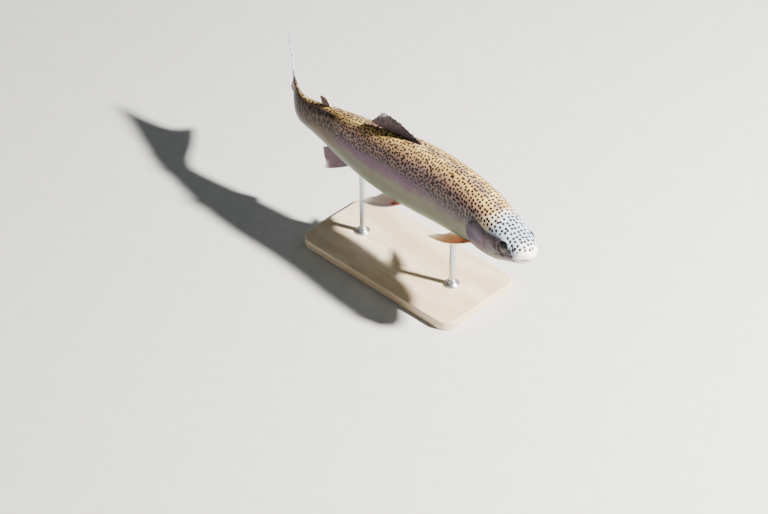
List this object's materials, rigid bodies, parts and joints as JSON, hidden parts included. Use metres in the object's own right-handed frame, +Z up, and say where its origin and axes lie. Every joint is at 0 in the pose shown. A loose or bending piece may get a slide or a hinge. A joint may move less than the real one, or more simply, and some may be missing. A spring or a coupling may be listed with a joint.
{
  "type": "rainbow trout model",
  "caption": "Life-size trout in a swimming pose, the tail swept to one side, spotted and scaled, held level over a flat base by short rods.",
  "frame": {"origin": "centre of the stand's underside", "axes": "+X along the trunk towards the head, +Y to the fish's left, +Z up"},
  "size_m": [0.3862, 0.1, 0.1695],
  "materials": {
    "skin_body": "painted scaled skin, satin: sandy back with dense black spots, mauve band, pale belly",
    "skin_head": "painted smooth skin, satin: pale grey with black spots",
    "gill_covers": "painted smooth skin, satin: mauve grey with a pink flush",
    "eye": "glossy, with a dark pupil and a silver brown iris",
    "fins_dark": "satin, rayed, spotted",
    "fins_pale": "satin, rayed, paler towards the edge",
    "fins_tail": "satin, rayed, spotted at the root",
    "stand_board": "pale wood, matt lacquer",
    "stand_metal": "satin"
  },
  "bodies": {
    "root": {"head": "skin_head", "lower_jaw": "skin_head", "trunk_front": "skin_body", "trunk_rear": "skin_body", "tail_stalk": "skin_body", "dorsal_fin": "fins_dark", "adipose_fin": "fins_dark", "caudal_fin": "fins_tail", "anal_fin": "fins_pale", "eye_left": "eye", "jaw_bone_left": "skin_head", "gill_cover_left": "gill_covers", "pectoral_fin_left": "fins_pale", "pelvic_fin_left": "fins_pale", "eye_right": "eye", "jaw_bone_right": "skin_head", "gill_cover_right": "gill_covers", "pectoral_fin_right": "fins_pale", "pelvic_fin_right": "fins_pale", "stand_base": "stand_board", "stand_rod_front": "stand_metal", "stand_rod_rear": "stand_metal"}
  },
  "joints": []
}
